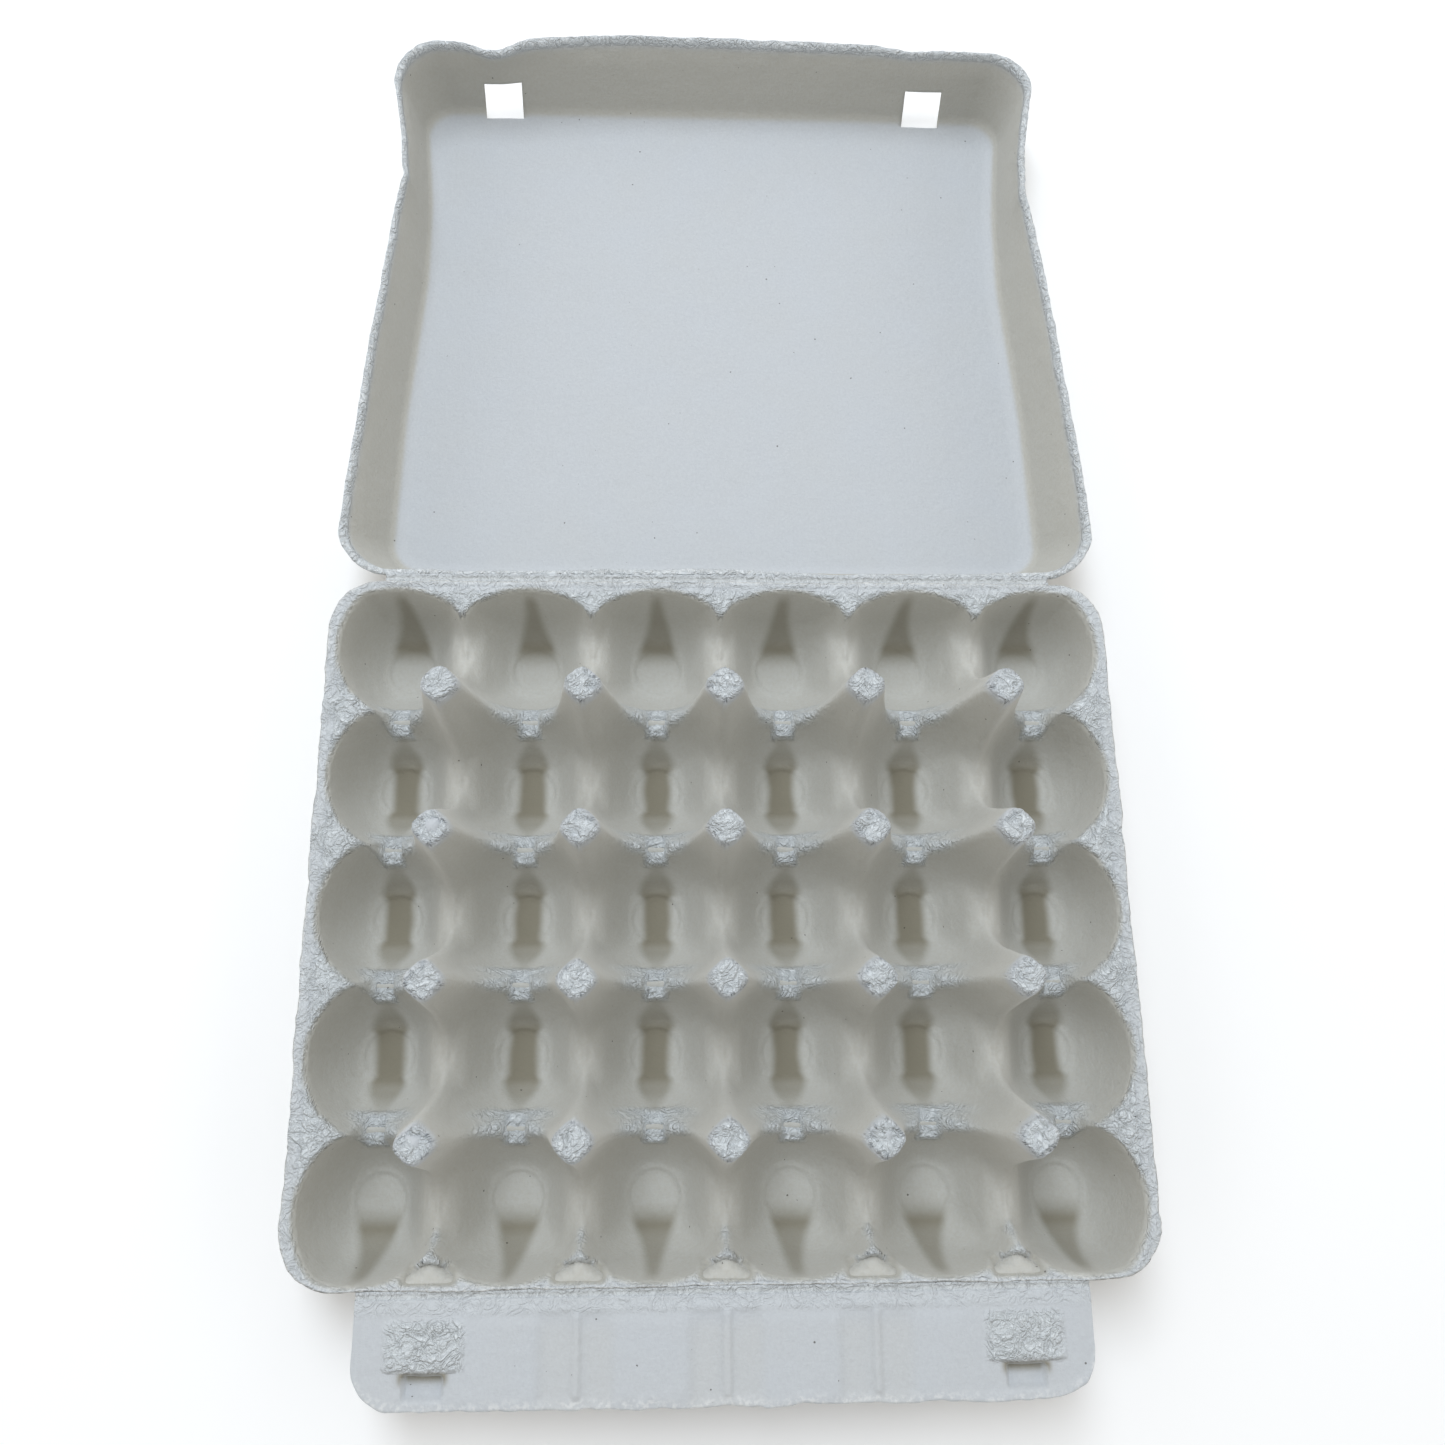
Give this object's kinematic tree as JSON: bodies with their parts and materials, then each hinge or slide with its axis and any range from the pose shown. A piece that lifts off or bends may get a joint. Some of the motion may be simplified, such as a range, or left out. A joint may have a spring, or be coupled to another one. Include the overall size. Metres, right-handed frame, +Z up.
{
  "type": "egg carton",
  "caption": "Hinged egg carton of moulded pulp: a tray of round-bottomed cells between tall posts, a deep lid and a tuck-in locking flap with two lugs.",
  "frame": {"origin": "middle of the open carton's box, on the surface that it rests on", "axes": "+X across the carton, along both creases; +Y from the locking flap to the lid; +Z up, out of the cells"},
  "size_m": [0.289, 0.5286, 0.0697],
  "materials": {
    "pulp": "matte off-white moulded pulp"
  },
  "bodies": {
    "tray": {"tray": "pulp", "lid_crease": "pulp", "flap_crease": "pulp"},
    "lid": {"lid": "pulp"},
    "flap": {"locking_flap": "pulp"}
  },
  "joints": [
    {"name": "lid_hinge", "type": "hinge", "parent": "tray", "child": "lid", "pos_m": [0, 0.01469, 0.03615], "axis": [1, 0, 0], "range_deg": [0, 180], "deforming": ["lid_crease"]},
    {"name": "flap_hinge", "type": "hinge", "parent": "tray", "child": "flap", "pos_m": [0, -0.23031, 0.03615], "axis": [-1, 0, 0], "range_deg": [0, 110], "deforming": ["flap_crease"]}
  ]
}
